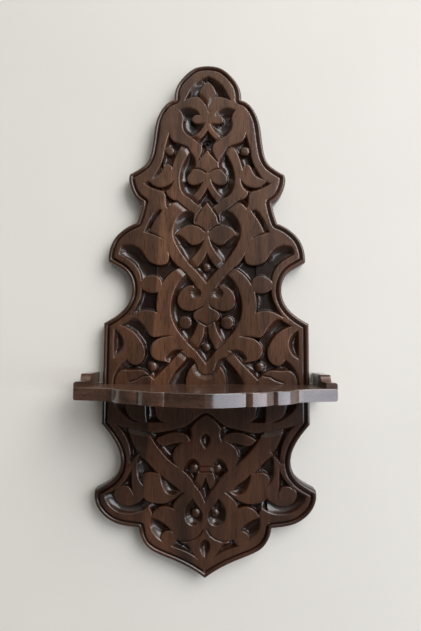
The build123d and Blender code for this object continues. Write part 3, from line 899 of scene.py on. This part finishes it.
def beech(name):
    """Pale bare wood with fine grain."""
    paint = Paint(name)
    grain = paint.pattern(paint.stretched((1, 1, BEECH_LONG_WAY)), scale=700, detail=4)
    paint.coat_with(paint.ramp(grain, BEECH_COLOURS))
    paint.dull(grain, low=0.5, high=0.75)
    paint.roughen(grain, strength=0.15)
    return paint.material


def steel(name):
    """Turned screw steel, a little tarnished."""
    paint = Paint(name)
    marks = paint.pattern(paint.where, scale=900, detail=5)
    paint.coat_with(paint.ramp(marks, STEEL_COLOURS))
    paint.shader.inputs["Metallic"].default_value = 1.0
    paint.dull(marks, low=0.25, high=0.5)
    paint.roughen(marks, strength=0.1)
    return paint.material


def clear_behind(paint):
    """Lets the view and the light through a sheet from behind and from close to it."""
    back = paint.add("ShaderNodeNewGeometry").outputs["Backfacing"]
    length = paint.add("ShaderNodeLightPath").outputs["Ray Length"]
    close = paint.add("ShaderNodeMath", {0: length, 1: CLEAR_WITHIN}, operation="LESS_THAN")
    either = paint.add("ShaderNodeMath", {0: back, 1: close.outputs["Value"]}, operation="MAXIMUM")
    clear = paint.add("ShaderNodeBsdfTransparent").outputs["BSDF"]
    mixed = paint.add("ShaderNodeMixShader", {"Fac": either.outputs["Value"],
                                              1: paint.shader.outputs["BSDF"], 2: clear})
    paint.links.new(mixed.outputs["Shader"], paint.nodes["Material Output"].inputs["Surface"])


def room_paint(name, colour, bounce):
    """Matt room paint, clear from behind so that the back can be seen, with its share of bounce."""
    paint = Paint(name)
    patches = paint.pattern(paint.where, scale=3, detail=8)
    darker = tuple(DARKER_PATCH * part for part in colour)
    seen = paint.add("ShaderNodeLightPath").outputs["Is Camera Ray"]
    tint = paint.ramp(patches, [(0.3, darker), (0.7, colour)])
    paint.coat_with(paint.times(tint, paint.ranged(seen, low=bounce)))
    roller = paint.pattern(paint.where, scale=260, detail=4)
    paint.dull(roller, low=0.85, high=0.95)
    paint.roughen(roller, strength=0.06)
    clear_behind(paint)
    return paint.material


def wear(piece, material):
    """Gives a piece its one material."""
    piece.data.materials.clear()
    piece.data.materials.append(material)


def area_lamp(name, place, aim, size, power, colour):
    """Soft rectangular lamp."""
    data = bpy.data.lights.new(name, "AREA")
    data.shape = "RECTANGLE"
    data.size, data.size_y = size
    data.energy = power
    data.color = colour
    lamp = bpy.data.objects.new(name, data)
    bpy.context.scene.collection.objects.link(lamp)
    lamp.location = place
    lamp.rotation_euler = (Vector(aim) - Vector(place)).to_track_quat("-Z", "Y").to_euler()


def flat_sheet(name, corners, material):
    """Large flat sheet of the room behind or under the piece."""
    mesh = bpy.data.meshes.new(name)
    mesh.from_pydata(corners, [], [(0, 1, 2, 3)])
    sheet = bpy.data.objects.new(name, mesh)
    bpy.context.scene.collection.objects.link(sheet)
    wear(sheet, material)


def room_light():
    """World that is bright above and to the right, and dark behind the camera."""
    world = bpy.data.worlds.new("room")
    world.use_nodes = True
    tree = world.node_tree
    where = tree.nodes.new("ShaderNodeTexCoord")
    towards = tree.nodes.new("ShaderNodeVectorMath")
    towards.operation = "DOT_PRODUCT"
    towards.inputs[1].default_value = LIGHT_FROM
    tree.links.new(where.outputs["Generated"], towards.inputs[0])
    strength = tree.nodes.new("ShaderNodeMapRange")
    strength.inputs["From Min"].default_value = LIGHT_DARK_SIDE
    strength.inputs["From Max"].default_value = LIGHT_BRIGHT_SIDE
    strength.inputs["To Min"].default_value = LIGHT_LEAST
    strength.inputs["To Max"].default_value = LIGHT_MOST
    tree.links.new(towards.outputs["Value"], strength.inputs["Value"])
    background = tree.nodes["Background"]
    background.inputs["Color"].default_value = LIGHT_COLOUR
    tree.links.new(strength.outputs["Result"], background.inputs["Strength"])
    return world


def make_room():
    """Pale wall and floor, and the light."""
    across = (-ROOM_REACH, ROOM_REACH, ROOM_REACH, -ROOM_REACH)
    depths = (-ROOM_REACH, -ROOM_REACH, ROOM_REACH, ROOM_REACH)
    heights = (FLOOR_HEIGHT, FLOOR_HEIGHT, ROOM_TOP, ROOM_TOP)
    flat_sheet("wall", [(x, WALL_GAP, z) for x, z in zip(across, heights)],
               room_paint("wall_paint", WALL_COLOUR, WALL_BOUNCE))
    flat_sheet("floor", [(x, y, FLOOR_HEIGHT) for x, y in zip(across, depths)],
               room_paint("floor_paint", FLOOR_COLOUR, FLOOR_BOUNCE))
    bpy.context.scene.world = room_light()
    area_lamp("window", place=(2.6, -2.9, 2.2), aim=(0, 0, -0.3), size=(2.7, 3.3), power=170,
              colour=(0.97, 0.98, 1.0))
    area_lamp("low_window", place=(1.64, -1.24, -0.6), aim=(0.14, -0.02, -0.37), size=(2.42, 0.28),
              power=10, colour=(0.8, 0.86, 1.0))


def make_panel():
    """Three carved boards in place of the solids' plain ones."""
    carving = Carving(BOARDS)
    shared = carving.places()
    for number, (name, (tone, strip)) in enumerate(BOARDS.items()):
        piece = build_board(name, carving, shared)
        slot_name = name.replace("panel", "walnut").replace("_board", "")
        seed = number * BOARD_SEED_STEP
        wear(piece, walnut(slot_name, tone, seed, carved=True, strip=strip))


def paint_solids():
    """Materials of the solids that are shown as they are."""
    wear(nodes["shelf_board"], walnut("walnut_shelf", SHELF_TONE, SHELF_SEED, along="X",
                                      coat_bend=SHELF_COAT_BEND))
    for number, name in enumerate(CHEEKS):
        wear(nodes[name], walnut("walnut_" + name, CHEEK_TONE, CHEEK_SEED + number, along="Y"))
    wear(nodes["cheek_dowels"], beech("beech"))
    wear(nodes["shelf_screws"], steel("screw_steel"))


bpy.context.scene.view_settings.view_transform = "Standard"
make_camera()
make_panel()
paint_solids()
make_room()
